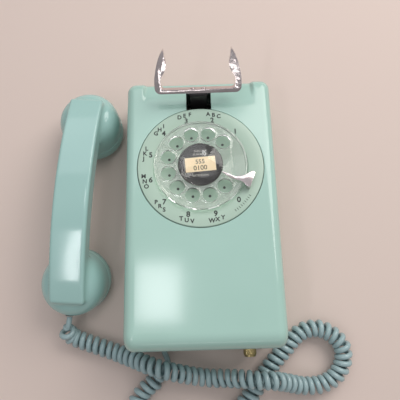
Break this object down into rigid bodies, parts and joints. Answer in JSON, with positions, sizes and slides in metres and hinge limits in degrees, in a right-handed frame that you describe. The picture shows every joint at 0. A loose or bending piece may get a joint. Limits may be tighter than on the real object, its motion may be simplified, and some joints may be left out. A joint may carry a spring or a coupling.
{
  "type": "corded landline phone",
  "caption": "rotary wall telephone with a sloping moulded housing, clear finger wheel, bent hook cradle and a handset on a curly cord",
  "frame": {"origin": "middle of the flat back of the base plate, in the plane of the wall or table", "axes": "+Z out of the front of the phone, +Y to its top where the hook is, +X to the right seen from the front"},
  "size_m": [0.2697, 0.3191, 0.096],
  "materials": {
    "aqua_plastic": "gloss moulded aqua",
    "clear_plastic": "clear acrylic",
    "black_card": "printed card",
    "chrome": "bright plated",
    "black_metal": "black enamel",
    "steel": "zinc plated sheet",
    "brass": "satin brass",
    "copper": "enamelled winding",
    "black_plastic": "phenolic moulding",
    "black_rubber": "matt rubber",
    "cord_jacket": "grey-green vinyl jacket"
  },
  "bodies": {
    "base": {"base_plate": "steel", "housing": "aqua_plastic", "housing_screw": "steel", "dial_bracket": "steel", "bracket_screws": "steel", "dial_frame": "steel", "dial_rear_plate": "brass", "number_plate": "aqua_plastic", "finger_stop": "chrome", "return_spring": "steel", "governor_bracket": "steel", "pulse_contacts": "black_plastic", "hook_bracket": "steel", "hook_pivot_pin": "steel", "hook_spring": "steel", "switch_stack": "black_plastic", "network_block": "black_plastic", "network_terminals": "brass", "ringer_frame": "steel", "ringer_bobbin": "copper", "ringer_core": "steel", "gong_posts": "steel", "gong_left": "brass", "gong_right": "brass", "gong_screws": "steel", "clapper_pin": "steel", "base_grommet": "black_rubber", "cord_tail_handset": "cord_jacket", "cord_coil": "cord_jacket", "cord_tail_base": "cord_jacket"},
    "dial": {"finger_wheel": "clear_plastic", "number_card": "black_card", "card_cover": "clear_plastic", "dial_shaft": "steel", "main_gear": "brass"},
    "pulse_train": {"pulse_pinion": "steel", "pulse_cam": "black_plastic", "worm_wheel": "black_plastic"},
    "governor": {"governor_rotor": "brass"},
    "hook": {"hook_lever": "black_metal", "hook_cradle": "chrome", "hook_rivets": "chrome"},
    "clapper": {"clapper": "steel"},
    "volume_control": {"volume_knob": "brass", "volume_shaft": "brass"},
    "handset": {"handset_shell": "aqua_plastic", "receiver_cap": "aqua_plastic", "transmitter_cap": "aqua_plastic", "receiver_unit": "steel", "transmitter_unit": "steel", "handset_grommet": "black_rubber"}
  },
  "joints": [
    {"name": "dial_turn", "type": "hinge", "parent": "base", "child": "dial", "pos_m": [0, 0.0328, 0.064], "axis": [0, 0.1132, 0.9936], "range_deg": [-330, 0], "stiffness_Nm_per_rad": 0.004, "springref_deg": 114.59, "deforming": ["return_spring"]},
    {"name": "pulse_spin", "type": "hinge", "parent": "base", "child": "pulse_train", "pos_m": [0, 0.01193, 0.06638], "axis": [0, 0.1132, 0.9936], "range_deg": [-6, 1986]},
    {"name": "governor_spin", "type": "hinge", "parent": "base", "child": "governor", "pos_m": [0, 0.00194, 0.0502], "axis": [1, 0, 0], "range_deg": [-11916, 36]},
    {"name": "hook_press", "type": "hinge", "parent": "base", "child": "hook", "pos_m": [0, 0.09, 0.026], "axis": [1, 0, 0], "range_deg": [0, 10], "stiffness_Nm_per_rad": 0.15, "springref_deg": -25.78, "deforming": ["hook_spring"]},
    {"name": "clapper_swing", "type": "hinge", "parent": "base", "child": "clapper", "pos_m": [0, -0.046, 0.017], "axis": [0, 0, 1], "range_deg": [-3.5, 3.5]},
    {"name": "volume_turn", "type": "hinge", "parent": "base", "child": "volume_control", "pos_m": [0.038, -0.12, 0.014], "axis": [0, 1, 0], "range_deg": [0, 90]},
    {"name": "handset_lift", "type": "slide", "parent": "base", "child": "handset", "axis": [0, 0, 1], "range_m": [0, 0.25]}
  ],
  "couplings": [
    {"joint": "pulse_spin", "follows": "dial_turn", "ratio": -6},
    {"joint": "governor_spin", "follows": "dial_turn", "ratio": 36}
  ]
}
